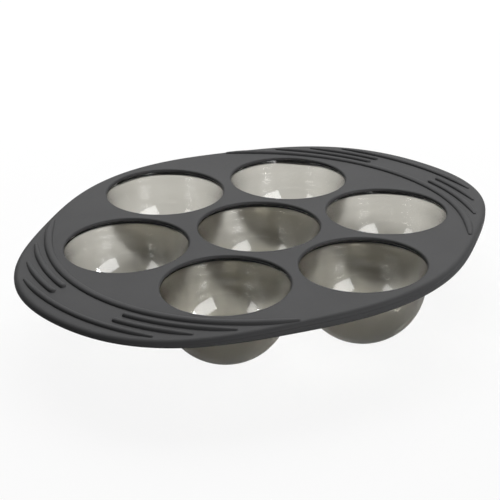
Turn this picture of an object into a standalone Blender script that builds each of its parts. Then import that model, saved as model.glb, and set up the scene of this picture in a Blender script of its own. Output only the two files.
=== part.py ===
"""Silicone baking mould: seven domed cups held in a round deck with a grip at each end.

Lengths are in metres. +Z is up and the cups' feet stand on z = 0.
The grips lie on the X axis, and the centre cup is on the Z axis.
"""
import math

import bmesh
import bpy

# Cup, inside sizes measured from the deck's top face
MOUTH_RADIUS = 0.0350
BOWL_RADIUS = 0.0334
BOWL_CENTRE_DEPTH = 0.0100
CUP_WALL = 0.0013
FOOT_RADIUS = 0.0050

# Flange of the cup and the seat that holds it inside the deck
FLANGE_REACH = 0.0014
FLANGE_THICKNESS = 0.0010
SEAT_CLEARANCE = 0.0003
UPPER_LIP = 0.0015
LOWER_LIP = 0.0011
MOUTH_ROUND = 0.0012

# Deck, its skirt and the lands between the seats
SEAT_WEB = 0.00145
SEAT_TO_SKIRT = 0.00115
SKIRT_WALL = 0.00346
SKIRT_BELOW_DECK = 0.0019
EDGE_ROUND = 0.0020
BOTTOM_ROUND = 0.0008
FLAT_TOP_INSET = 0.0050

# Grips that carry the round deck out to both ends
GRIP_REACH = 0.0303
GRIP_FALL = 0.0045
GRIP_TIP_THICKNESS = 0.0036
GRIP_HALF_ANGLE = math.radians(35.5)
GRIP_EASE_POWER = 2.87

# Ribs moulded on the grips, concentric with the deck
RIB_COUNT = 4
LAST_RIB_TO_TIP = 0.00985
FIRST_RIB_INSET = 0.0003
FIRST_RIB_WIDTH = 0.0048
RIB_WIDTH = 0.0038
RIB_HEIGHT = 0.0012
RIB_ROOT = 0.0010
FIRST_RIB_TO_EDGE = 0.0040
RIB_TO_EDGE = 0.0065
PLAIN_FIELD_HALF_WIDTH = 0.0235
RIB_CROWN_SHARE = 0.5
RIB_END_SHARES = ((0.1, 0.44), (0.4, 0.8), (1.0, 1.0))

# Overrun that takes the cutter clear of the faces it cuts, and the distance under which points are one
OVERRUN = 0.0010
WELD_DISTANCE = 0.00003

# Facet counts
CUP_SEGMENTS = 30
BOWL_RINGS = 5
DECK_SEGMENTS = 96
EDGE_RINGS = 3
RIB_STEP = math.radians(4.0)

# Sizes worked out from the ones above
SEAT_RADIUS = MOUTH_RADIUS + CUP_WALL + FLANGE_REACH + SEAT_CLEARANCE
CUP_PITCH = 2 * SEAT_RADIUS + SEAT_WEB
DISC_RADIUS = CUP_PITCH + SEAT_RADIUS + SEAT_TO_SKIRT + SKIRT_WALL
TIP_RADIUS = DISC_RADIUS + GRIP_REACH
RIB_PITCH = (GRIP_REACH + FIRST_RIB_INSET - LAST_RIB_TO_TIP) / (RIB_COUNT - 1)
RECESS_RADIUS = DISC_RADIUS - SKIRT_WALL
FLAT_TOP_RADIUS = DISC_RADIUS - FLAT_TOP_INSET
SEAT_HEIGHT = FLANGE_THICKNESS + 2 * SEAT_CLEARANCE
DECK_THICKNESS = UPPER_LIP + SEAT_HEIGHT + LOWER_LIP
OUTER_BOWL_RADIUS = BOWL_RADIUS + CUP_WALL
FOOT_ANGLE = math.asin(FOOT_RADIUS / OUTER_BOWL_RADIUS)
DECK_TOP = BOWL_CENTRE_DEPTH + OUTER_BOWL_RADIUS * math.cos(FOOT_ANGLE)
DECK_UNDERSIDE = DECK_TOP - DECK_THICKNESS
SKIRT_FOOT = DECK_UNDERSIDE - SKIRT_BELOW_DECK
TIP_FOOT = DECK_TOP - GRIP_FALL - GRIP_TIP_THICKNESS

RING_CUPS = ("right_back", "back", "left_back", "left_front", "front", "right_front")


def clear_scene():
    """Remove every object so the script starts from an empty scene."""
    for thing in list(bpy.data.objects):
        bpy.data.objects.remove(thing, do_unlink=True)


def silicone(name, colour, roughness, transmission):
    """Silicone finish: one plain Principled shader."""
    material = bpy.data.materials.new(name)
    material.use_nodes = True
    shader = material.node_tree.nodes["Principled BSDF"]
    shader.inputs["Base Color"].default_value = (*colour, 1.0)
    shader.inputs["Roughness"].default_value = roughness
    shader.inputs["Metallic"].default_value = 0.0
    shader.inputs["Transmission Weight"].default_value = transmission
    return material


def new_object(name, mesh, parent=None):
    """Link a mesh into the scene as a named object."""
    thing = bpy.data.objects.new(name, mesh)
    bpy.context.scene.collection.objects.link(thing)
    thing.parent = parent
    return thing


def finish_mesh(bm, name):
    """Turn the faces outward and write the bmesh to a mesh that shades smooth."""
    bmesh.ops.recalc_face_normals(bm, faces=bm.faces)
    mesh = bpy.data.meshes.new(name)
    bm.to_mesh(mesh)
    bm.free()
    mesh.shade_smooth()
    mesh.set_sharp_from_angle(angle=math.radians(35.0))
    return mesh


def spin_profile(bm, profile, centre=(0.0, 0.0)):
    """Turn a profile of (radius, height) points once round a vertical axis and close its ends."""
    points = [bm.verts.new((centre[0] + radius, centre[1], height)) for radius, height in profile]
    edges = [bm.edges.new(pair) for pair in zip(points, points[1:])]
    before = set(bm.faces)
    bmesh.ops.spin(bm, geom=points + edges, cent=(*centre, 0.0), axis=(0.0, 0.0, 1.0),
                   angle=2 * math.pi, steps=CUP_SEGMENTS, use_merge=True)
    made = [face for face in bm.faces if face not in before]
    rim = {edge for face in made for edge in face.edges if edge.is_boundary}
    bmesh.ops.holes_fill(bm, edges=list(rim), sides=CUP_SEGMENTS)


def bowl_arc(radius):
    """Points of a bowl from its equator down to the ring that borders the flat at its pole."""
    centre_height = DECK_TOP - BOWL_CENTRE_DEPTH
    turn = math.pi / 2 - FOOT_ANGLE
    angles = [turn * ring / BOWL_RINGS for ring in range(BOWL_RINGS + 1)]
    return [(radius * math.cos(angle), centre_height - radius * math.sin(angle)) for angle in angles]


def cup_profile():
    """Section of one cup: inside from its pole to the mouth, round the flange, outside to the foot."""
    rim_top = DECK_TOP - UPPER_LIP - SEAT_CLEARANCE
    flange_under = rim_top - FLANGE_THICKNESS
    outer_radius = MOUTH_RADIUS + CUP_WALL
    flange_radius = outer_radius + FLANGE_REACH
    inside = bowl_arc(BOWL_RADIUS)[::-1]
    rim = [(MOUTH_RADIUS, rim_top), (flange_radius, rim_top), (flange_radius, flange_under),
           (outer_radius, flange_under)]
    outside = bowl_arc(OUTER_BOWL_RADIUS)
    return inside + rim + outside


def cup_mesh():
    """One thin cup turned about its own axis, with a small flat foot at its pole."""
    bm = bmesh.new()
    spin_profile(bm, cup_profile())
    return finish_mesh(bm, "cup")


def seat_profile():
    """Section of the hole that one cup needs: rounded mouth, seat for the flange, tapered lower lip."""
    mouth_round = min(MOUTH_ROUND, UPPER_LIP)
    above = DECK_TOP + OVERRUN
    corner = MOUTH_RADIUS + mouth_round
    arc_drop = mouth_round * (1 - math.cos(math.pi / 4))
    seat_top = DECK_TOP - UPPER_LIP
    seat_foot = seat_top - SEAT_HEIGHT
    lip_radius = MOUTH_RADIUS + CUP_WALL + SEAT_CLEARANCE
    below = SKIRT_FOOT - OVERRUN
    return [(corner, above), (corner, DECK_TOP), (MOUTH_RADIUS + arc_drop, DECK_TOP - arc_drop),
            (MOUTH_RADIUS, DECK_TOP - mouth_round), (MOUTH_RADIUS, seat_top), (SEAT_RADIUS, seat_top),
            (SEAT_RADIUS, seat_foot), (lip_radius, seat_foot), (lip_radius, below)]


def cup_places():
    """Name and place of each cup: one on the axis and six round it."""
    places = [("centre", (0.0, 0.0))]
    for index, name in enumerate(RING_CUPS):
        angle = math.pi / 6 + index * math.pi / 3
        places.append((name, (CUP_PITCH * math.cos(angle), CUP_PITCH * math.sin(angle))))
    return places


def grip_share(angle):
    """How much of the grip's reach the outline has at an angle from the X axis."""
    folded = math.atan2(abs(math.sin(angle)), abs(math.cos(angle)))
    return 0.5 ** ((folded / GRIP_HALF_ANGLE) ** GRIP_EASE_POWER)


def outline_point(angle, inset):
    """Point on the deck's outline, moved inward square to the outline."""
    folded = math.atan2(abs(math.sin(angle)), abs(math.cos(angle)))
    share = grip_share(angle)
    radius = DISC_RADIUS + GRIP_REACH * share
    fall = math.log(2) * GRIP_EASE_POWER * (folded / GRIP_HALF_ANGLE) ** (GRIP_EASE_POWER - 1)
    side = math.copysign(1, math.sin(angle) * math.cos(angle))
    slope = -side * GRIP_REACH * share * fall / GRIP_HALF_ANGLE
    length = math.hypot(radius, slope)
    out_x = (radius * math.cos(angle) + slope * math.sin(angle)) / length
    out_y = (radius * math.sin(angle) - slope * math.cos(angle)) / length
    return radius * math.cos(angle) - inset * out_x, radius * math.sin(angle) - inset * out_y


def top_height(x, y):
    """Height of the top face: flat over the round deck, then falling along the grips."""
    beyond = max(0.0, math.hypot(x, y) - FLAT_TOP_RADIUS)
    return DECK_TOP - GRIP_FALL * beyond / (TIP_RADIUS - FLAT_TOP_RADIUS)


def edge_height(angle):
    """Height of the top face where its rounded edge starts."""
    return top_height(*outline_point(angle, EDGE_ROUND))


def foot_height(angle):
    """Height of the underside of the edge, from the skirt's foot to the tip of the grip."""
    return SKIRT_FOOT + (TIP_FOOT - SKIRT_FOOT) * grip_share(angle)


def circle_ring(radius, height):
    """Level circle of points."""
    turns = [2 * math.pi * step / DECK_SEGMENTS for step in range(DECK_SEGMENTS)]
    return [(radius * math.cos(turn), radius * math.sin(turn), height) for turn in turns]


def outline_ring(inset, height_at):
    """Ring of points along the outline at one inset, each at the height that its angle gives."""
    turns = [2 * math.pi * step / DECK_SEGMENTS for step in range(DECK_SEGMENTS)]
    return [(*outline_point(turn, inset), height_at(turn)) for turn in turns]


def deck_rings():
    """Rings of the deck from its flat top, over the rounded edge and under to the recess."""
    rings = [circle_ring(FLAT_TOP_RADIUS, DECK_TOP)]
    for step in range(EDGE_RINGS + 1):
        angle = math.pi / 2 * step / EDGE_RINGS
        inset = EDGE_ROUND * (1 - math.sin(angle))
        drop = EDGE_ROUND * (1 - math.cos(angle))
        rings.append(outline_ring(inset, lambda turn, drop=drop: edge_height(turn) - drop))
    rings.append(outline_ring(0.0, lambda turn: foot_height(turn) + BOTTOM_ROUND))
    rings.append(outline_ring(BOTTOM_ROUND, foot_height))
    rings.append(circle_ring(RECESS_RADIUS, SKIRT_FOOT))
    rings.append(circle_ring(RECESS_RADIUS, DECK_UNDERSIDE))
    return rings


def loft(bm, rings):
    """Closed body through rings of equal count, capped at both ends."""
    loops = [[bm.verts.new(point) for point in ring] for ring in rings]
    count = len(loops[0])
    for upper, lower in zip(loops, loops[1:]):
        for index in range(count):
            following = (index + 1) % count
            bm.faces.new((upper[index], upper[following], lower[following], lower[index]))
    bm.faces.new(loops[0])
    bm.faces.new(loops[-1])


def rib_section(radius, turn, width, height):
    """Section of a rib at one angle: a flat crown between sloping sides that reach down into the deck."""
    crown = width / 2 * RIB_CROWN_SHARE
    spread = width / 2 - crown
    root = crown + spread * (height + RIB_ROOT) / height
    corners = ((-root, -RIB_ROOT), (-crown, height), (crown, height), (root, -RIB_ROOT))
    points = []
    for across, rise in corners:
        x = (radius + across) * math.cos(turn)
        y = (radius + across) * math.sin(turn)
        points.append((x, y, top_height(x, y) + rise))
    return points


def rib_body(bm, radius, start, end, width):
    """One curved rib with both ends drawn in to a round.

    The count of steps is odd, so no station lies on the grip's middle line, where the deck has an edge.
    """
    blunt = width / 2 / radius
    stations = [(start + blunt * reach, scale) for reach, scale in RIB_END_SHARES]
    inner_start, inner_end = start + blunt, end - blunt
    steps = max(2, math.ceil((inner_end - inner_start) / RIB_STEP))
    steps += 1 - steps % 2
    for step in range(1, steps):
        stations.append((inner_start + (inner_end - inner_start) * step / steps, 1.0))
    stations += [(end - blunt * reach, scale) for reach, scale in RIB_END_SHARES[::-1]]
    loft(bm, [rib_section(radius, turn, width * scale, RIB_HEIGHT * scale) for turn, scale in stations])


def rib_end_angle(radius, to_edge):
    """Angle at which the outline comes within a set distance of a rib."""
    share = (radius + to_edge - DISC_RADIUS) / GRIP_REACH
    return GRIP_HALF_ANGLE * math.log2(1 / share) ** (1 / GRIP_EASE_POWER)


def rib_spans():
    """Radius, width, start and end of each rib on one grip, from the deck outward."""
    first_radius = DISC_RADIUS - FIRST_RIB_INSET
    spans = []
    for number in range(RIB_COUNT):
        radius = first_radius + number * RIB_PITCH
        is_first = number == 0
        is_last = number == RIB_COUNT - 1
        width = FIRST_RIB_WIDTH if is_first else RIB_WIDTH
        end = rib_end_angle(radius, FIRST_RIB_TO_EDGE if is_first else RIB_TO_EDGE)
        if is_first or is_last:
            spans.append((radius, width, -end, end))
        else:
            gap = math.asin(PLAIN_FIELD_HALF_WIDTH / radius)
            spans.append((radius, width, gap, end))
            spans.append((radius, width, -end, -gap))
    return spans


def hide_tool(tool):
    """Keep a body that only shapes another one out of the finished part."""
    tool.hide_render = True
    tool.display_type = "WIRE"


def seat_cutter(parent):
    """Every cup's hole as one cutter."""
    bm = bmesh.new()
    for _, place in cup_places():
        spin_profile(bm, seat_profile(), place)
    cutter = new_object("seat_cutter", finish_mesh(bm, "seat_cutter"), parent)
    hide_tool(cutter)
    return cutter


def rib_stock(parent):
    """The ribs of both grips as one body to add."""
    bm = bmesh.new()
    for grip_turn in (0.0, math.pi):
        for radius, width, start, end in rib_spans():
            rib_body(bm, radius, grip_turn + start, grip_turn + end, width)
    stock = new_object("rib_stock", finish_mesh(bm, "rib_stock"), parent)
    hide_tool(stock)
    return stock


def combine(target, tool, operation):
    """Exact Boolean kept on the target as a modifier."""
    modifier = target.modifiers.new(tool.name, "BOOLEAN")
    modifier.operation = operation
    modifier.solver = "EXACT"
    modifier.object = tool


def weld(target):
    """Merge points that the Booleans leave almost on top of each other."""
    modifier = target.modifiers.new("weld", "WELD")
    modifier.merge_threshold = WELD_DISTANCE


def make_deck(parent, material):
    """Opaque deck with its skirt, seven seats and the ribbed grips."""
    bm = bmesh.new()
    loft(bm, deck_rings())
    deck = new_object("deck", finish_mesh(bm, "deck"), parent)
    deck.data.materials.append(material)
    combine(deck, seat_cutter(parent), "DIFFERENCE")
    combine(deck, rib_stock(parent), "UNION")
    weld(deck)
    return deck


def make_cups(parent, material):
    """Seven see-through cups, each its own object, sharing one turned mesh."""
    mesh = cup_mesh()
    mesh.materials.append(material)
    for name, (x, y) in cup_places():
        cup = new_object("cup_" + name, mesh, parent)
        cup.location = (x, y, 0.0)


def main():
    """Build the mould."""
    clear_scene()
    mould = bpy.data.objects.new("mould", None)
    bpy.context.scene.collection.objects.link(mould)
    charcoal = silicone("charcoal_silicone", (0.085, 0.085, 0.087), 0.62, 0.0)
    smoke = silicone("smoke_silicone", (0.52, 0.50, 0.45), 0.16, 0.6)
    make_deck(mould, charcoal)
    make_cups(mould, smoke)
    bpy.context.view_layer.update()


main()
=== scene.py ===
# %% [markdown]
# # A silicone mould with seven half-sphere cups
#
# The real mould is made in two shots. The first shot is the deck: an opaque charcoal silicone, round, with
# a grip at each end. The second is the seven cups: a glossy see-through silicone, held in seats inside the
# deck.
#
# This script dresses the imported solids. It loads them as a fixed frame, models each moulding again with
# finer curves, gives both silicones their finish, and sets up a plain studio. The frame comes first,
# because every size below is either read from it or has to agree with it.

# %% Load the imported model
import math

import bmesh
import bpy
from mathutils import Matrix, Vector


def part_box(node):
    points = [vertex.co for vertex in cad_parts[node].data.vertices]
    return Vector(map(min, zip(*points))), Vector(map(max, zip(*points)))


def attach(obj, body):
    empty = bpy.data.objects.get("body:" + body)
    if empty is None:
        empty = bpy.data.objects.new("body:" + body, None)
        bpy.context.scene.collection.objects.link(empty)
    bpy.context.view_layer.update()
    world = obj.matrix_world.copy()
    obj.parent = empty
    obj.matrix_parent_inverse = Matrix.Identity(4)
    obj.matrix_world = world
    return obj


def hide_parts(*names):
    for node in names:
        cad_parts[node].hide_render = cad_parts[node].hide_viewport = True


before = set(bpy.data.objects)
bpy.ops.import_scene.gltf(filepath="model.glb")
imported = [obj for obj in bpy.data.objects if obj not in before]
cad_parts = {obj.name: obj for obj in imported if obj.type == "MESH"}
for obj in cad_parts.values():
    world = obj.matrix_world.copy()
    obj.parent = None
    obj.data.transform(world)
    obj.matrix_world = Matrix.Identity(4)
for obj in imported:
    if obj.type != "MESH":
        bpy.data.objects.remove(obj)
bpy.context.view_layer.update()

# %% [markdown]
# ## Sizes that the pieces share
#
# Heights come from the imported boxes. The deck's outline is not a circle with two tabs: it is one smooth
# curve, a round deck whose radius swells towards both ends. The swell follows a power of a half, which is
# flat at the tip, steep at the shoulder and almost nothing at the sides, so one formula draws it all.

# %% Sizes in metres
UPPER_LIP = 0.0015
FLANGE_PLAY = 0.0003
DECK_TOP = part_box("cup_centre")[1][2] + FLANGE_PLAY + UPPER_LIP
DECK_UNDERSIDE = DECK_TOP - 0.0042
SKIRT_FOOT = DECK_UNDERSIDE - 0.0019
TIP_FOOT = DECK_TOP - 0.0036
DISC_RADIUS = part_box("deck")[1][1]
GRIP_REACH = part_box("deck")[1][0] - DISC_RADIUS
RECESS_RADIUS = DISC_RADIUS - 0.00346
EDGE_ROUND = 0.0022
EDGE_ROLL = 0.0032
FOOT_ROUND = 0.0008
HALF_SWELL_ANGLE = math.radians(35.5)
SWELL_POWER = 2.87
print("round deck %.1f mm, grips reach %.1f mm further" % (DISC_RADIUS * 1000, GRIP_REACH * 1000))


# %% The outline as a formula
def swell(turn):
    """Share of the grip's reach that the outline has at an angle from the long axis."""
    folded = math.atan2(abs(math.sin(turn)), abs(math.cos(turn)))
    return 0.5 ** ((folded / HALF_SWELL_ANGLE) ** SWELL_POWER)


def outline_point(turn, inset):
    """Point of the outline at an angle, moved inward square to the edge."""
    step = 0.0001
    behind, point, ahead = (
        (DISC_RADIUS + GRIP_REACH * swell(angle)) * Vector((math.cos(angle), math.sin(angle)))
        for angle in (turn - step, turn, turn + step))
    along = (ahead - behind).normalized()
    return point - inset * Vector((along.y, -along.x))


print("outline at 0, 35 and 90 degrees:",
      [round(outline_point(math.radians(angle), 0.0).length * 1000, 1) for angle in (0, 35, 90)])

# %% [markdown]
# ## The camera
#
# A pinhole camera was fitted to the rims of the seven mouths, which are true circles, so the photograph's
# viewpoint is known to about a pixel. It could be placed by eye with a Track To constraint, but then the
# small roll of the picture would be lost. So the three axes of the camera are worked out from its angles
# and written straight into its matrix.

# %% Camera angles and distance
VIEW_ROUND = math.radians(-46.08)
VIEW_UP = math.radians(24.37)
VIEW_ROLL = math.radians(-0.84)
VIEW_DISTANCE = 0.918
VIEW_TARGET = Vector((-0.0282, -0.0198, DECK_TOP))
FOCAL_PIXELS = 1662.0
PICTURE_PIXELS = 500.0
print("the camera looks at", [round(value * 1000, 1) for value in VIEW_TARGET], "mm")

# %% Make the camera
bpy.ops.object.select_all(action="DESELECT")
bpy.ops.object.camera_add()
camera = bpy.context.object
camera.name = "camera"
back = Vector((math.sin(VIEW_ROUND) * math.cos(VIEW_UP),
               -math.cos(VIEW_ROUND) * math.cos(VIEW_UP), math.sin(VIEW_UP)))
level = Vector((math.cos(VIEW_ROUND), math.sin(VIEW_ROUND), 0.0))
upward = back.cross(level)
right = level * math.cos(VIEW_ROLL) + upward * math.sin(VIEW_ROLL)
upward = upward * math.cos(VIEW_ROLL) - level * math.sin(VIEW_ROLL)
turn = Matrix((right, upward, back)).transposed().to_4x4()
camera.matrix_world = Matrix.Translation(VIEW_TARGET + back * VIEW_DISTANCE) @ turn
camera.data.lens = camera.data.sensor_width * FOCAL_PIXELS / PICTURE_PIXELS
camera.data.clip_start, camera.data.clip_end = 0.05, 20.0
bpy.context.scene.camera = camera
print("lens %.1f mm" % camera.data.lens)

# %% [markdown]
# ## Two helpers for working in edit mode
#
# An operator works on everything that is selected, and a freshly loaded scene comes with its solids
# selected. So each step first takes one piece in hand, alone, and then picks edges by where they are.


# %% Take one piece in hand, and pick edges of it
def take(piece):
    """Select one piece, alone, and make it the active one."""
    bpy.ops.object.select_all(action="DESELECT")
    piece.select_set(True)
    bpy.context.view_layer.objects.active = piece


def pick_edges(piece, wanted):
    """In edit mode, select the edges for which wanted(edge) is true."""
    mesh = bmesh.from_edit_mesh(piece.data)
    for edge in mesh.edges:
        edge.select_set(False)
    mesh.select_flush(False)
    chosen = [edge for edge in mesh.edges if wanted(edge)]
    for edge in chosen:
        edge.select_set(True)
    bmesh.update_edit_mesh(piece.data)
    return len(chosen)


bpy.ops.object.select_all(action="DESELECT")
print("nothing selected:", len(bpy.context.selected_objects) == 0)

# %% [markdown]
# ## The deck, first step: edge, skirt and recess
#
# The deck is modelled level and given its sag at the very end, because flat things are easier to fill and
# join. Its skin rolls over a soft edge, 3.2 mm wide and 2.2 mm deep, drops down the skirt and turns under
# to a shallow recess. By hand this is one edge loop, extruded again and again. Each new loop is put at its
# inset from the outline and its height, ring after ring, so the round stays round all the way. Each point
# keeps its angle as a named attribute, and extruding copies it, so every later loop knows which station of
# the outline it belongs to.

# %% A ring along the outline
STATIONS = 720
BORDER = 0.0004


def add_ring(name, radius, height, points):
    """An open circle of points round the middle."""
    bpy.ops.object.select_all(action="DESELECT")
    bpy.ops.mesh.primitive_circle_add(vertices=points, radius=radius, location=(0.0, 0.0, height))
    ring = bpy.context.object
    ring.name = name
    bpy.ops.object.transform_apply(location=True, rotation=True, scale=True)
    return ring


deck = add_ring("charcoal_deck", DISC_RADIUS, DECK_TOP, STATIONS)
station = deck.data.attributes.new("station", "FLOAT", "POINT")
for point in deck.data.vertices:
    station.data[point.index].value = math.atan2(point.co.y, point.co.x)
    point.co.x, point.co.y = outline_point(station.data[point.index].value, EDGE_ROLL + BORDER)
print("ring of", len(deck.data.vertices), "points")

# %% Extrude the loop ring by ring
EDGE_STEPS = 8
CREASE_DEPTH = 0.00025


def foot_height(turn):
    """Height of the foot of the edge, from the skirt's foot to the tip of the grip."""
    return SKIRT_FOOT + (TIP_FOOT - SKIRT_FOOT) * swell(turn)


def wall_height(turn, share):
    """Height on the straight part of the wall, from its top at 0 to its foot at 1."""
    top, foot = DECK_TOP - EDGE_ROUND, foot_height(turn) + FOOT_ROUND
    return top + (foot - top) * share


def extrude_loop(inset_at, height_at):
    """Extrude the picked loop and put each new point at its inset and height."""
    bpy.ops.mesh.extrude_edges_move()
    mesh = bmesh.from_edit_mesh(deck.data)
    layer = mesh.verts.layers.float["station"]
    for point in mesh.verts:
        if point.select:
            turn = point[layer]
            point.co = (*outline_point(turn, inset_at(turn)), height_at(turn))
    bmesh.update_edit_mesh(deck.data)


take(deck)
bpy.ops.object.mode_set(mode="EDIT")
bpy.ops.mesh.select_mode(type="EDGE")
bpy.ops.mesh.select_all(action="SELECT")
for step in range(EDGE_STEPS + 1):
    angle = math.pi / 2 * step / EDGE_STEPS
    inset, drop = EDGE_ROLL * (1 - math.sin(angle)), EDGE_ROUND * (1 - math.cos(angle))
    extrude_loop(lambda turn: inset, lambda turn: DECK_TOP - drop)
for share, depth in ((0.1, 0.0), (0.22, CREASE_DEPTH), (0.34, 0.0), (1.0, 0.0)):
    extrude_loop(lambda turn: depth * (1.0 - swell(turn)), lambda turn: wall_height(turn, share))
for step in range(1, 5):
    angle = math.pi / 2 * step / 4
    inset, rise = FOOT_ROUND * (1 - math.cos(angle)), FOOT_ROUND * (1 - math.sin(angle))
    extrude_loop(lambda turn: inset, lambda turn: foot_height(turn) + rise)
bpy.ops.object.mode_set(mode="OBJECT")
print("edge of the deck:", len(deck.data.polygons), "faces")


# %% Turn under to the recess
def extrude_circle(radius, height):
    """Extrude the picked loop onto a level circle."""
    bpy.ops.mesh.extrude_edges_move()
    mesh = bmesh.from_edit_mesh(deck.data)
    layer = mesh.verts.layers.float["station"]
    for point in mesh.verts:
        if point.select:
            point.co = (radius * math.cos(point[layer]), radius * math.sin(point[layer]), height)
    bmesh.update_edit_mesh(deck.data)


bpy.ops.object.mode_set(mode="EDIT")
extrude_circle(RECESS_RADIUS, SKIRT_FOOT)
extrude_circle(RECESS_RADIUS, DECK_UNDERSIDE)
extrude_circle(RECESS_RADIUS - BORDER, DECK_UNDERSIDE)
bpy.ops.object.mode_set(mode="OBJECT")
print("with the recess:", len(deck.data.polygons), "faces")

# %% [markdown]
# ## The seats of the cups
#
# Every cup looks out of a round mouth with a soft edge. Behind it the deck is hollowed by a groove that
# holds the cup's flange between two lips. It could be cut with seven booleans, but they would leave long
# thin faces. Instead one open ring is extruded down through the section of the seat, once, and copied to
# the seven places.

# %% Section of the seat, as radius and height
MOUTH_RADIUS = 0.0350
MOUTH_ROUND = 0.0012
SEAT_RADIUS = 0.0380
SEAT_HEIGHT = 0.0016
LOWER_LIP_RADIUS = 0.0366
SEAT_POINTS = 144
mouth_arc = [(MOUTH_RADIUS + MOUTH_ROUND * (1 - math.sin(math.radians(angle))),
              DECK_TOP - MOUTH_ROUND * (1 - math.cos(math.radians(angle)))) for angle in range(0, 91, 15)]
seat_section = [(MOUTH_RADIUS + MOUTH_ROUND + 0.0004, DECK_TOP), *mouth_arc,
                (MOUTH_RADIUS, DECK_TOP - UPPER_LIP), (SEAT_RADIUS, DECK_TOP - UPPER_LIP),
                (SEAT_RADIUS, DECK_TOP - UPPER_LIP - SEAT_HEIGHT),
                (LOWER_LIP_RADIUS, DECK_TOP - UPPER_LIP - SEAT_HEIGHT),
                (LOWER_LIP_RADIUS, DECK_UNDERSIDE), (LOWER_LIP_RADIUS + 0.0004, DECK_UNDERSIDE)]
print("section of", len(seat_section), "points")


# %% Extrude one ring through the section, then copy it to every cup
def extrude_section(section):
    """Extrude the picked circle through (radius, height) points, each time moved down and resized."""
    for (radius, height), (next_radius, next_height) in zip(section, section[1:]):
        bpy.ops.mesh.extrude_edges_move(TRANSFORM_OT_translate={"value": (0.0, 0.0, next_height - height)})
        grow = next_radius / radius
        bpy.ops.transform.resize(value=(grow, grow, 1.0), center_override=(0.0, 0.0, next_height))


seat = add_ring("seat", *seat_section[0], SEAT_POINTS)
take(seat)
bpy.ops.object.mode_set(mode="EDIT")
bpy.ops.mesh.select_all(action="SELECT")
extrude_section(seat_section)
bpy.ops.object.mode_set(mode="OBJECT")

cup_places = {}
for name in sorted(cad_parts):
    if name.startswith("cup_"):
        low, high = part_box(name)
        cup_places[name] = ((low[0] + high[0]) / 2, (low[1] + high[1]) / 2)
print("cups at, mm:", {name: (round(x * 1000, 1), round(y * 1000, 1)) for name, (x, y) in cup_places.items()})

# %% Join the seats to the deck and fill the flats
seats = []
for x, y in cup_places.values():
    copy = seat.copy()
    copy.data = seat.data.copy()
    copy.location = (x, y, 0.0)
    bpy.context.scene.collection.objects.link(copy)
    seats.append(copy)
bpy.data.objects.remove(seat, do_unlink=True)
take(deck)
for copy in seats:
    copy.select_set(True)
bpy.ops.object.join()
bpy.ops.object.mode_set(mode="EDIT")
bpy.ops.mesh.select_mode(type="EDGE")
for height in (DECK_TOP, DECK_UNDERSIDE):
    rim = pick_edges(deck, lambda edge: edge.is_boundary
                     and all(abs(point.co.z - height) < 0.00001 for point in edge.verts))
    bpy.ops.mesh.fill()
    print("filled a flat inside", rim, "edges")
bpy.ops.mesh.select_all(action="SELECT")
bpy.ops.mesh.remove_doubles(threshold=0.000005)
bpy.ops.mesh.normals_make_consistent(inside=False)
bpy.ops.object.mode_set(mode="OBJECT")


# %% Check that the deck is closed
def open_edges(piece):
    """Count the edges of a piece that don't have exactly two faces."""
    mesh = bmesh.new()
    mesh.from_mesh(piece.data)
    count = sum(1 for edge in mesh.edges if not edge.is_manifold)
    volume = mesh.calc_volume(signed=True)
    mesh.free()
    return count, volume


print("deck: open edges and volume in cm3:", open_edges(deck)[0], round(open_edges(deck)[1] * 1e6, 2),
      "triangles:", sum(len(face.vertices) - 2 for face in deck.data.polygons))

# %% [markdown]
# ## The ribs of the grips
#
# Each grip has four raised ribs that run round with the deck, so that wet fingers can hold it. The two in
# the middle leave a bare field. Each is a rounded bar bent to an arc, with round ends. By hand: an upright
# circle is squashed to the rib's section, its lower part is cut away, and it is spun round the mould's
# axis. The outer half of each end is then spun about the end itself, which makes the round end with the
# same section.
# Last, the ends that run out towards the outline are made thinner and lower, so that they fade into the
# deck.

# %% Sizes of the ribs
RIB_HEIGHT = 0.0015
RIB_ROOT = 0.0004
FIRST_RIB_RADIUS = DISC_RADIUS - 0.0003
RIB_PITCH = 0.00692
FIRST_RIB_WIDTH = 0.0048
RIB_WIDTH = 0.0038
RIB_ENDS = [math.radians(angle) for angle in (54.0, 39.0, 29.5, 21.5)]
BARE_FIELD_HALF_WIDTH = 0.0235
BARE_FIELD_TURN = math.radians(-1.0)
RIB_SIDES = 32
RIB_STEP = math.radians(0.75)
SPLIT_RIBS = (1, 2)
TAPER_LENGTH = 0.018
TAPERED_SHARE = 0.5
rib_radii = [FIRST_RIB_RADIUS + number * RIB_PITCH for number in range(len(RIB_ENDS))]
print("ribs at, mm:", [round(radius * 1000, 2) for radius in rib_radii])


# %% Make the end of a rib thinner
def angle_of(point):
    """Angle of a point round the mould's axis."""
    return math.atan2(point.co.y, point.co.x)


def taper_end(rib, radius, edge, way):
    """Shrink the rib's section towards the end that lies at the angle edge, on the side that way says."""
    for point in rib.data.vertices:
        turn, reach = angle_of(point), point.co.to_2d().length
        before = min(max((edge - turn) * way * radius / TAPER_LENGTH, 0.0), 1.0)
        size = TAPERED_SHARE + (1 - TAPERED_SHARE) * before * (2 - before)
        reach = radius + (reach - radius) * size
        turn = edge + (turn - edge) * size if (turn - edge) * way > 0 else turn
        height = DECK_TOP + (point.co.z - DECK_TOP) * size
        point.co = (reach * math.cos(turn), reach * math.sin(turn), height)


print("ends shrink to %.1f of the section over %.0f mm" % (TAPERED_SHARE, TAPER_LENGTH * 1000))


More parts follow.
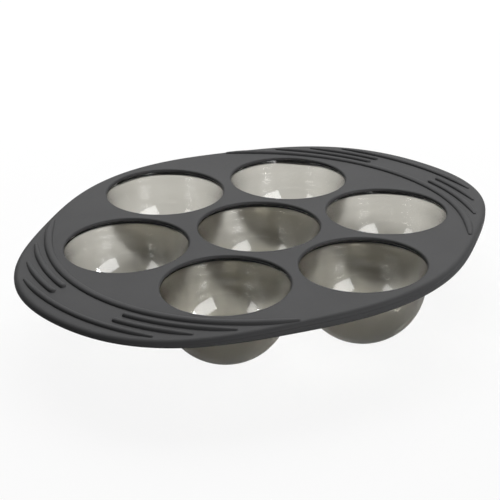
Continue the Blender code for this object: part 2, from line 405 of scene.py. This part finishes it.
# %% Spin one rib
def add_rib(radius, width, span, tapered):
    """A rib round the middle of the long axis, rooted in the deck's top, thinner towards its tapered ends."""
    half = width / 2
    sweep = span - width / radius
    bpy.ops.object.select_all(action="DESELECT")
    bpy.ops.mesh.primitive_circle_add(vertices=RIB_SIDES, radius=half, location=(radius, 0.0, DECK_TOP),
                                      rotation=(math.pi / 2, 0.0, 0.0))
    rib = bpy.context.object
    rib.name = "rib"
    rib.scale.y = RIB_HEIGHT / half
    bpy.ops.object.transform_apply(location=True, rotation=True, scale=True)
    bpy.ops.object.mode_set(mode="EDIT")
    bpy.ops.mesh.select_all(action="SELECT")
    bpy.ops.mesh.bisect(plane_co=(0.0, 0.0, DECK_TOP - RIB_ROOT), plane_no=(0.0, 0.0, 1.0), clear_inner=True)
    bpy.ops.mesh.select_all(action="SELECT")
    bpy.ops.mesh.spin(steps=max(2, round(sweep / RIB_STEP)), angle=sweep,
                      center=(0.0, 0.0, 0.0), axis=(0.0, 0.0, 1.0))
    angles = [angle_of(point) for point in bmesh.from_edit_mesh(rib.data).verts]
    first, last = min(angles), max(angles)
    bpy.ops.mesh.select_mode(type="EDGE")
    for turn, way in ((first, 1.0), (last, -1.0)):
        pick_edges(rib, lambda edge: all(abs(angle_of(point) - turn) < 0.0001
                                         and point.co.to_2d().length > radius - 0.000001
                                         for point in edge.verts))
        centre = (radius * math.cos(turn), radius * math.sin(turn), 0.0)
        bpy.ops.mesh.spin(steps=RIB_SIDES // 2, angle=way * math.pi, center=centre, axis=(0.0, 0.0, 1.0))
    bpy.ops.mesh.select_all(action="SELECT")
    bpy.ops.mesh.remove_doubles(threshold=0.000005)
    pick_edges(rib, lambda edge: edge.is_boundary)
    bpy.ops.mesh.edge_face_add()
    bpy.ops.mesh.select_all(action="SELECT")
    bpy.ops.mesh.normals_make_consistent(inside=False)
    bpy.ops.object.mode_set(mode="OBJECT")
    for way in tapered:
        taper_end(rib, radius, last if way > 0 else first, way)
    rib.data.transform(Matrix.Rotation(-(first + last) / 2, 4, "Z"))
    return rib


rib_shapes = []
for number, (radius, end) in enumerate(zip(rib_radii, RIB_ENDS)):
    width = FIRST_RIB_WIDTH if number == 0 else RIB_WIDTH
    if number not in SPLIT_RIBS:
        rib_shapes.append((add_rib(radius, width, 2 * end, (1, -1)), 0.0))
        continue
    for side in (1, -1):
        start = math.asin(BARE_FIELD_HALF_WIDTH / radius) + side * BARE_FIELD_TURN
        rib_shapes.append((add_rib(radius, width, end - start, (side,)), side * (start + end) / 2))
print("rib shapes, open edges:", [open_edges(rib)[0] for rib, middle in rib_shapes])

# %% Copy the ribs to their places on both grips and unite them with the deck
ribs = []
for rib, middle in rib_shapes:
    for grip in (0.0, math.pi):
        copy = rib.copy()
        copy.data = rib.data.copy()
        copy.data.transform(Matrix.Rotation(grip + middle, 4, "Z"))
        bpy.context.scene.collection.objects.link(copy)
        ribs.append(copy)
    bpy.data.objects.remove(rib, do_unlink=True)
take(ribs[0])
for copy in ribs[1:]:
    copy.select_set(True)
bpy.ops.object.join()
all_ribs = bpy.context.object
take(deck)
unite = deck.modifiers.new("unite", "BOOLEAN")
unite.operation, unite.solver, unite.object = "UNION", "EXACT", all_ribs
bpy.ops.object.modifier_apply(modifier=unite.name)
bpy.data.objects.remove(all_ribs, do_unlink=True)
bpy.ops.object.mode_set(mode="EDIT")
bpy.ops.mesh.select_all(action="SELECT")
bpy.ops.mesh.remove_doubles(threshold=0.000005)
bpy.ops.object.mode_set(mode="OBJECT")
print("deck with", len(ribs), "ribs: open edges", open_edges(deck)[0], "triangles",
      sum(len(face.vertices) - 2 for face in deck.data.polygons))

# %% [markdown]
# ## The cups
#
# A cup is a half sphere below a short wall that opens slightly, with a small flat at its pole to stand on.
# It could be spun from a section, but a ball cut at its equator is quicker and its poles are already even.
# The rim is then extruded up to the mouth, and Solidify gives the thin wall, outwards, because the inside
# is what fits. The bowls are glossy inside and satin outside, so each point is marked as inside or outside
# in a named attribute, which the finish reads later.

# %% Sizes of a cup
BOWL_RADIUS = 0.0334
BOWL_CENTRE = DECK_TOP - 0.0100
CUP_WALL = 0.0013
RIM_TOP = DECK_TOP - UPPER_LIP - FLANGE_PLAY
FLANGE_RADIUS = 0.0377
FLANGE_THICKNESS = 0.0010
RIM_STEPS = 8
print("bowl centre at %.2f mm, rim at %.2f mm" % (BOWL_CENTRE * 1000, RIM_TOP * 1000))


# %% Cut a ball at its equator and draw the rim up
def wall_radius(height):
    """Inner radius of the short wall at a height over the equator."""
    return BOWL_RADIUS + (MOUTH_RADIUS - BOWL_RADIUS) * min(height / (RIM_TOP - BOWL_CENTRE), 1.0) ** 1.5


bpy.ops.object.select_all(action="DESELECT")
bpy.ops.mesh.primitive_uv_sphere_add(segments=128, ring_count=64, radius=BOWL_RADIUS,
                                     location=(0.0, 0.0, BOWL_CENTRE))
cup = bpy.context.object
cup.name = "smoke_cup"
bpy.ops.object.transform_apply(location=True, rotation=True, scale=True)
bpy.ops.object.mode_set(mode="EDIT")
bpy.ops.mesh.select_all(action="SELECT")
bpy.ops.mesh.bisect(plane_co=(0.0, 0.0, BOWL_CENTRE), plane_no=(0.0, 0.0, 1.0), clear_outer=True)
bpy.ops.mesh.select_mode(type="EDGE")
rim = pick_edges(cup, lambda edge: edge.is_boundary)
flange_foot = RIM_TOP - FLANGE_THICKNESS
heights = [BOWL_CENTRE + (flange_foot - BOWL_CENTRE) * step / RIM_STEPS for step in range(RIM_STEPS + 1)]
heights.append(RIM_TOP)
extrude_section([(wall_radius(height - BOWL_CENTRE), height) for height in heights])
bpy.ops.object.mode_set(mode="OBJECT")
for point in cup.data.vertices:
    point.co.z = max(point.co.z, CUP_WALL)
print("rim of", rim, "edges, cup of", len(cup.data.polygons), "faces")


# %% Give the wall its thickness and mark its inside
def outside_by(place):
    """Distance of a place from the inner surface, outwards."""
    height = place.z - BOWL_CENTRE
    if height > 0.0:
        return place.to_2d().length - wall_radius(height)
    return (place - Vector((0.0, 0.0, BOWL_CENTRE))).length - BOWL_RADIUS


take(cup)
wall = cup.modifiers.new("wall", "SOLIDIFY")
wall.thickness = CUP_WALL
wall.offset = 1.0
wall.use_even_offset = True
bpy.ops.object.modifier_apply(modifier=wall.name)
inside = cup.data.attributes.new("inside", "FLOAT", "POINT")
for point, mark in zip(cup.data.vertices, inside.data):
    mark.value = 1.0 if outside_by(point.co) < CUP_WALL / 2 < point.co.z else 0.0
print("points on the inside:", sum(mark.value > 0.5 for mark in inside.data), "of", len(cup.data.vertices))

# %% Pull out the flange and set the cup on its foot
bpy.ops.object.mode_set(mode="EDIT")
bpy.ops.mesh.select_mode(type="FACE")
mesh = bmesh.from_edit_mesh(cup.data)
for face in mesh.faces:
    middle = face.calc_center_median()
    face.select_set(flange_foot < middle.z < RIM_TOP - 0.0001
                    and middle.to_2d().length > MOUTH_RADIUS + CUP_WALL / 2)
bmesh.update_edit_mesh(cup.data)
bpy.ops.mesh.extrude_region_move()
outer = max(point.co.to_2d().length for point in bmesh.from_edit_mesh(cup.data).verts if point.select)
grow = FLANGE_RADIUS / outer
bpy.ops.transform.resize(value=(grow, grow, 1.0), center_override=(0.0, 0.0, RIM_TOP))
bpy.ops.mesh.select_all(action="SELECT")
bpy.ops.mesh.remove_doubles(threshold=0.000005)
bpy.ops.mesh.normals_make_consistent(inside=False)
bpy.ops.object.mode_set(mode="OBJECT")
for point in cup.data.vertices:
    point.co.z = max(point.co.z, 0.0)
bpy.ops.object.shade_smooth_by_angle(angle=math.radians(40.0))
print("cup: open edges and volume in cm3:", open_edges(cup)[0], round(open_edges(cup)[1] * 1e6, 2),
      "lowest", round(min(point.co.z for point in cup.data.vertices) * 1000, 3), "mm")

# %% Copy the cup to its seven places
cups = []
for name, (x, y) in cup_places.items():
    copy = cup.copy()
    copy.data = cup.data.copy()
    copy.name = "smoke_" + name
    copy.data.transform(Matrix.Translation((x, y, 0.0)))
    bpy.context.scene.collection.objects.link(copy)
    cups.append((copy, name))
bpy.data.objects.remove(cup, do_unlink=True)
print("cups:", [copy.name for copy, name in cups])

# %% [markdown]
# ## The sag
#
# Silicone is soft, so on a table the mould isn't as straight as its drawing. Its cups stand on their feet,
# while the deck bends down towards both grips, by about 3 mm at the edge of the round and more than 4 at
# the tips. A bend along the long axis grows with the square of the distance. Feet stay where they are, so
# the drop of a point also goes with its height. It is done last, by one formula for all the pieces, so
# nothing comes apart.

# %% Let the mould sag
SAG = 0.213
for piece in [deck] + [cup for cup, name in cups]:
    for point in piece.data.vertices:
        point.co.z -= SAG * point.co.x ** 2 * point.co.z / DECK_TOP
take(deck)
bpy.ops.object.shade_smooth_by_angle(angle=math.radians(40.0))
if "station" in deck.data.attributes:
    deck.data.attributes.remove(deck.data.attributes["station"])
print("the tips are down by %.1f mm" % (SAG * (DISC_RADIUS + GRIP_REACH) ** 2 * 1000))

# %% [markdown]
# ## The charcoal silicone
#
# The deck's silicone is filled with pigment, so nothing shines through it, and it leaves the mould with a
# fine satin grain. A flat grey looks like plastic card. Three noises at three scales make it silicone: a
# slow change of tone where the sheet has been handled, a fine speckle of pigment, and a grain that only
# bends the light.


# %% Small helpers for material nodes
def new_material(name):
    """A material with its Principled shader and node tree ready."""
    material = bpy.data.materials.new(name)
    material.use_nodes = True
    nodes, links = material.node_tree.nodes, material.node_tree.links
    return material, nodes, links, nodes["Principled BSDF"]


def noise(nodes, links, scale, detail=2.0, roughness=0.5):
    """Noise on the piece's own coordinates, in waves per metre."""
    place = nodes.get("Texture Coordinate") or nodes.new("ShaderNodeTexCoord")
    texture = nodes.new("ShaderNodeTexNoise")
    texture.inputs["Scale"].default_value = scale
    texture.inputs["Detail"].default_value = detail
    texture.inputs["Roughness"].default_value = roughness
    links.new(place.outputs["Object"], texture.inputs["Vector"])
    return texture.outputs["Fac"]


def remap(nodes, links, value, low, high, start=0.3, end=0.7):
    """Spread a value over a range; the start and end given here suit a noise, which stays near its middle."""
    node = nodes.new("ShaderNodeMapRange")
    for socket, number in (("From Min", start), ("From Max", end), ("To Min", low), ("To Max", high)):
        node.inputs[socket].default_value = number
    links.new(value, node.inputs["Value"])
    return node.outputs["Result"]


def mix_colours(nodes, links, share, first, second):
    """Mix two colours by a share; the first may also be the output of another node."""
    node = nodes.new("ShaderNodeMix")
    node.data_type = "RGBA"
    links.new(share, node.inputs["Factor"])
    if isinstance(first, tuple):
        node.inputs["A"].default_value = (*first, 1.0)
    else:
        links.new(first, node.inputs["A"])
    node.inputs["B"].default_value = (*second, 1.0)
    return node.outputs["Result"]


def stronger(nodes, links, first, second):
    """The larger of two values."""
    node = nodes.new("ShaderNodeMath")
    node.operation = "MAXIMUM"
    links.new(first, node.inputs[0])
    links.new(second, node.inputs[1])
    return node.outputs["Value"]


print("helpers for nodes ready")

# %% Charcoal silicone
charcoal, nodes, links, shader = new_material("charcoal_finish")
slow = remap(nodes, links, noise(nodes, links, 22.0, 3.0), 0.0, 1.0)
speckle = noise(nodes, links, 2600.0, 2.0)
grey = mix_colours(nodes, links, slow, (0.037, 0.037, 0.038), (0.044, 0.044, 0.045))
links.new(grey, shader.inputs["Base Color"])
links.new(remap(nodes, links, speckle, 0.52, 0.64), shader.inputs["Roughness"])
grain = nodes.new("ShaderNodeBump")
grain.inputs["Strength"].default_value = 0.25
grain.inputs["Distance"].default_value = 0.00005
links.new(speckle, grain.inputs["Height"])
links.new(grain.outputs["Normal"], shader.inputs["Normal"])
shader.inputs["IOR"].default_value = 1.41
shader.inputs["Specular IOR Level"].default_value = 0.1
print(charcoal.name, "has", len(nodes), "nodes")

# %% [markdown]
# ## The smoke silicone
#
# The cups are clear silicone with a little smoke-grey dye. A thin wall passes about half of the light and
# blurs what is behind it. Seen at a slant, light has further to go through the wall, so it comes out
# darker. One finish all over would be simpler, but the photograph shows gloss only inside the bowls. There
# a smooth coat lies over the see-through body, and the outside stays rough and has no coat.

# %% The colour of smoke silicone
smoke, nodes, links, shader = new_material("smoke_finish")
cloud = remap(nodes, links, noise(nodes, links, 60.0, 2.0), 0.0, 1.0)
clear = mix_colours(nodes, links, cloud, (0.52, 0.505, 0.455), (0.56, 0.545, 0.495))
slant = nodes.new("ShaderNodeLayerWeight")
slant.inputs["Blend"].default_value = 0.5
longer_way = remap(nodes, links, slant.outputs["Facing"], 0.0, 1.0, start=0.12, end=0.8)
links.new(mix_colours(nodes, links, longer_way, clear, (0.22, 0.21, 0.19)), shader.inputs["Base Color"])
shader.inputs["Transmission Weight"].default_value = 1.0
shader.inputs["IOR"].default_value = 1.41
print(smoke.name, "has its colour, with", len(nodes), "nodes")

# %% Polished inside, satin outside
OUTSIDE_ROUGHNESS = 0.34
INSIDE_ROUGHNESS = 0.13
face = nodes.new("ShaderNodeAttribute")
face.attribute_name = "inside"
roughness = remap(nodes, links, face.outputs["Fac"], OUTSIDE_ROUGHNESS, INSIDE_ROUGHNESS)
links.new(roughness, shader.inputs["Roughness"])
links.new(remap(nodes, links, face.outputs["Fac"], 0.0, 1.0), shader.inputs["Coat Weight"])
shader.inputs["Specular IOR Level"].default_value = 0.1
shader.inputs["Coat Roughness"].default_value = 0.07
shader.inputs["Coat IOR"].default_value = 1.5
ripple = nodes.new("ShaderNodeBump")
ripple.inputs["Strength"].default_value = 0.1
ripple.inputs["Distance"].default_value = 0.0002
links.new(noise(nodes, links, 90.0, 1.0), ripple.inputs["Height"])
links.new(ripple.outputs["Normal"], shader.inputs["Normal"])
print(smoke.name, "has", len(nodes), "nodes")

# %% Finish each piece and tie it to the frame
dressed = [(deck, "deck", charcoal, "charcoal_silicone")]
dressed += [(cup, name, smoke, "smoke_silicone") for cup, name in cups]
for piece, node, material, slot in dressed:
    piece.data.materials.clear()
    piece.data.materials.append(material)
    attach(piece, "root")
    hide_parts(node)
print("pieces tied to the frame:", 1 + len(cups))

# %% [markdown]
# ## The studio
#
# The photograph was cut out on white, so the floor has to look white to the camera without lighting the
# mould any more. Its material answers three questions apart: what the camera sees, what a shiny or clear
# surface sees, and what light bounces. The camera sees a floor that is nearly white and still takes the
# mould's shadow.

# %% Floor
bpy.ops.object.select_all(action="DESELECT")
bpy.ops.mesh.primitive_plane_add(size=12.0, location=(0.0, 0.0, -0.0002))
floor = bpy.context.object
floor.name = "floor"
bpy.ops.object.transform_apply(location=True, rotation=True, scale=True)
paper, nodes, links, shader = new_material("pale_paper")
shader.inputs["Base Color"].default_value = (0.9, 0.9, 0.9, 1.0)
shader.inputs["Roughness"].default_value = 0.9
shader.inputs["Specular IOR Level"].default_value = 0.0
floor.data.materials.append(paper)
print("floor of", floor.dimensions.x, "m")

# %% What each kind of ray sees of the floor
SEEN_WHITE = 0.9
MIRRORED_WHITE = 0.12
rays = nodes.new("ShaderNodeLightPath")
by_camera = nodes.new("ShaderNodeMath")
by_camera.operation = "MULTIPLY"
by_camera.inputs[1].default_value = SEEN_WHITE
links.new(rays.outputs["Is Camera Ray"], by_camera.inputs[0])
by_cup = stronger(nodes, links, rays.outputs["Is Glossy Ray"], rays.outputs["Is Transmission Ray"])
both = nodes.new("ShaderNodeMath")
both.operation = "MULTIPLY_ADD"
both.inputs[1].default_value = MIRRORED_WHITE
links.new(by_cup, both.inputs[0])
links.new(by_camera.outputs["Value"], both.inputs[2])
glow = nodes.new("ShaderNodeEmission")
glow.inputs["Color"].default_value = (1.0, 1.0, 1.0, 1.0)
seen = nodes.new("ShaderNodeMixShader")
links.new(both.outputs["Value"], seen.inputs["Fac"])
links.new(shader.outputs["BSDF"], seen.inputs[1])
links.new(glow.outputs["Emission"], seen.inputs[2])
links.new(seen.outputs["Shader"], nodes["Material Output"].inputs["Surface"])
print(paper.name, "has", len(nodes), "nodes")

# %% [markdown]
# ## The room
#
# The world does two jobs. For light that bounces it is a dim even room. For the camera, and for shiny and
# clear surfaces, it is a white backdrop behind the mould that fades to a dark room behind the camera, as
# in a real studio. One even white would also do for the camera, but it would fill the cups with a milky
# reflection.

# %% World
ROOM_LIGHT = 0.2
world = bpy.data.worlds.new("studio") if bpy.context.scene.world is None else bpy.context.scene.world
bpy.context.scene.world = world
world.use_nodes = True
nodes, links = world.node_tree.nodes, world.node_tree.links
nodes.clear()
rays = nodes.new("ShaderNodeLightPath")
room = nodes.new("ShaderNodeBackground")
room.inputs["Strength"].default_value = ROOM_LIGHT
backdrop = nodes.new("ShaderNodeBackground")
seen = stronger(nodes, links, rays.outputs["Is Camera Ray"], rays.outputs["Is Glossy Ray"])
seen = stronger(nodes, links, seen, rays.outputs["Is Transmission Ray"])
chosen = nodes.new("ShaderNodeMixShader")
links.new(seen, chosen.inputs["Fac"])
links.new(room.outputs["Background"], chosen.inputs[1])
links.new(backdrop.outputs["Background"], chosen.inputs[2])
result = nodes.new("ShaderNodeOutputWorld")
links.new(chosen.outputs["Shader"], result.inputs["Surface"])
print("world for bounced light:", ROOM_LIGHT)

# %% White behind the mould, dark behind the camera
WHITE_SIDE = 44.0
DARK_SIDE_STRENGTH = 0.12
way = nodes.new("ShaderNodeTexCoord")
towards = nodes.new("ShaderNodeVectorMath")
towards.operation = "DOT_PRODUCT"
white_side = math.radians(WHITE_SIDE)
towards.inputs[1].default_value = (math.cos(white_side), math.sin(white_side), 0.0)
links.new(way.outputs["Generated"], towards.inputs[0])
strength = remap(nodes, links, towards.outputs["Value"], DARK_SIDE_STRENGTH, 1.0, start=-0.2, end=0.6)
links.new(strength, backdrop.inputs["Strength"])
print("world has", len(nodes), "nodes")

# %% [markdown]
# ## The lights
#
# One large lamp behind the mould lights it softly from above, and one at the front right lifts the deck's
# skirt. The bowls show the lamps as bright patches, and there are four more lamps for that. They could be
# bright cards that the bowls mirror, but lamps are easier to aim. They light the cups only and no diffuse
# surface, so the deck and the floor stay at their plain level.

# %% Soft lights
def softbox(name, round_degrees, up_degrees, distance, size, watts, aim=(0.0, 0.0, 0.03)):
    """A rectangular lamp that faces the mould, placed by its direction from it."""
    bpy.ops.object.select_all(action="DESELECT")
    turn, rise = math.radians(round_degrees), math.radians(up_degrees)
    away = Vector((math.cos(turn) * math.cos(rise), math.sin(turn) * math.cos(rise), math.sin(rise)))
    bpy.ops.object.light_add(type="AREA", location=Vector(aim) + away * distance)
    lamp = bpy.context.object
    lamp.name = name
    lamp.data.shape = "RECTANGLE"
    lamp.data.size, lamp.data.size_y = size
    lamp.data.energy = watts
    lamp.rotation_mode = "QUATERNION"
    lamp.rotation_quaternion = away.to_track_quat("Z", "Y")
    return lamp


softbox("light_behind", WHITE_SIDE, 44.0, 1.3, (1.5, 0.8), 22.5)
front = softbox("light_front_right", -85.0, 22.0, 1.5, (1.0, 0.6), 20.0)
deck_only = bpy.data.collections.new("deck_only")
deck_only.objects.link(deck)
front.light_linking.receiver_collection = deck_only

# %% Lamps that shine in the bowls
shines = [softbox("shine_right", -83.0, 28.0, 1.0, (1.00, 0.60), 11.0),
          softbox("shine_left", 160.0, 25.0, 1.0, (0.44, 0.47), 2.6),
          softbox("shine_left_high", 132.0, 34.0, 1.0, (0.66, 0.46), 60.0),
          softbox("shine_right_high", -48.0, 30.0, 1.0, (0.50, 0.34), 20.0)]
cups_only = bpy.data.collections.new("cups_only")
for cup, name in cups:
    cups_only.objects.link(cup)
for lamp in shines:
    lamp.visible_diffuse = False
    lamp.visible_transmission = False
    lamp.light_linking.receiver_collection = cups_only
print("lamps for the bowls:", [lamp.name for lamp in shines])

# %% Colour management
bpy.context.scene.view_settings.view_transform = "Standard"
